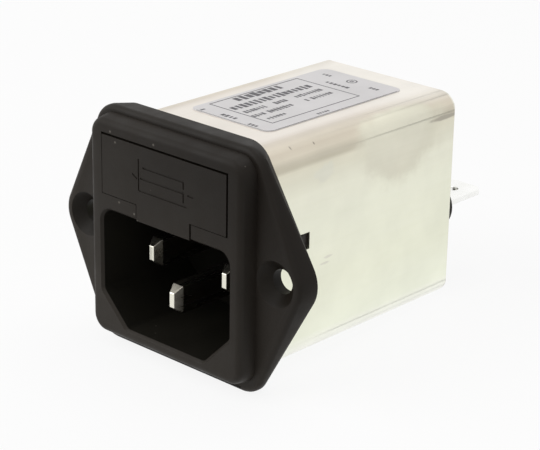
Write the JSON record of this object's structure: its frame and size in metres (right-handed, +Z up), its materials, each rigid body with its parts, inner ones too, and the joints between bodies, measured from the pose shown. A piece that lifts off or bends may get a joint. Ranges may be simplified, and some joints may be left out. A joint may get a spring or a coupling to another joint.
{
  "type": "emi line filter",
  "caption": "Mains inlet filter: hexagonal screw flange, recessed pin inlet with a fuse drawer above it, plated steel case behind and blade terminals at its back.",
  "frame": {"origin": "midway between the two panel screws, on the flange's rear face, which lies on the panel", "axes": "+X across, along the line of the two screws; +Y back from the panel face, through the case to the blade terminals; +Z up, from the inlet towards the fuse drawer"},
  "size_m": [0.0454, 0.0549, 0.0344],
  "materials": {
    "black_plastic": "moulded glass-filled thermoplastic, fine matt grain",
    "nickel_plate": "nickel-plated brass, smooth",
    "plated_steel": "tin-plated steel sheet, satin, faint rolling marks and stains",
    "label_film": "silvery white film with dark grey marks",
    "fuse_glass": "clear glass",
    "tinned_wire": "tinned wire",
    "spring_brass": "bare spring brass",
    "red_lead": "insulated wire",
    "blue_lead": "insulated wire",
    "board": "resin-bonded paper board",
    "ferrite": "coated ferrite",
    "pale_plastic": "moulded plastic",
    "enamelled_copper": "enamelled copper wire",
    "yellow_box": "moulded box filled with resin",
    "blue_coat": "dipped ceramic disc",
    "tan_coat": "lacquered body",
    "sleeve_film": "polyester film"
  },
  "bodies": {
    "filter": {"inlet_housing": "black_plastic", "line_pin": "nickel_plate", "neutral_pin": "nickel_plate", "earth_pin": "nickel_plate", "fuse_contact_line": "spring_brass", "fuse_contact_load": "spring_brass", "line_link": "spring_brass", "load_lead": "red_lead", "neutral_lead": "blue_lead", "earth_strap": "spring_brass", "circuit_board": "board", "choke_core": "ferrite", "choke_divider": "pale_plastic", "line_winding": "enamelled_copper", "neutral_winding": "enamelled_copper", "x_capacitor": "yellow_box", "y_capacitor_line": "blue_coat", "y_capacitor_neutral": "blue_coat", "bleed_resistor": "tan_coat", "insulating_sleeve": "sleeve_film", "case": "plated_steel", "label": "label_film", "line_tab": "nickel_plate", "neutral_tab": "nickel_plate", "line_bushing": "black_plastic", "neutral_bushing": "black_plastic", "earth_tab": "nickel_plate", "earth_rivet": "nickel_plate"},
    "drawer": {"fuse_drawer": "black_plastic", "fuse_tube": "fuse_glass", "fuse_caps": "nickel_plate", "fuse_wire": "tinned_wire"}
  },
  "joints": [
    {"name": "drawer_slide", "type": "slide", "parent": "filter", "child": "drawer", "axis": [0, -1, 0], "range_m": [0, 0.0195]}
  ]
}
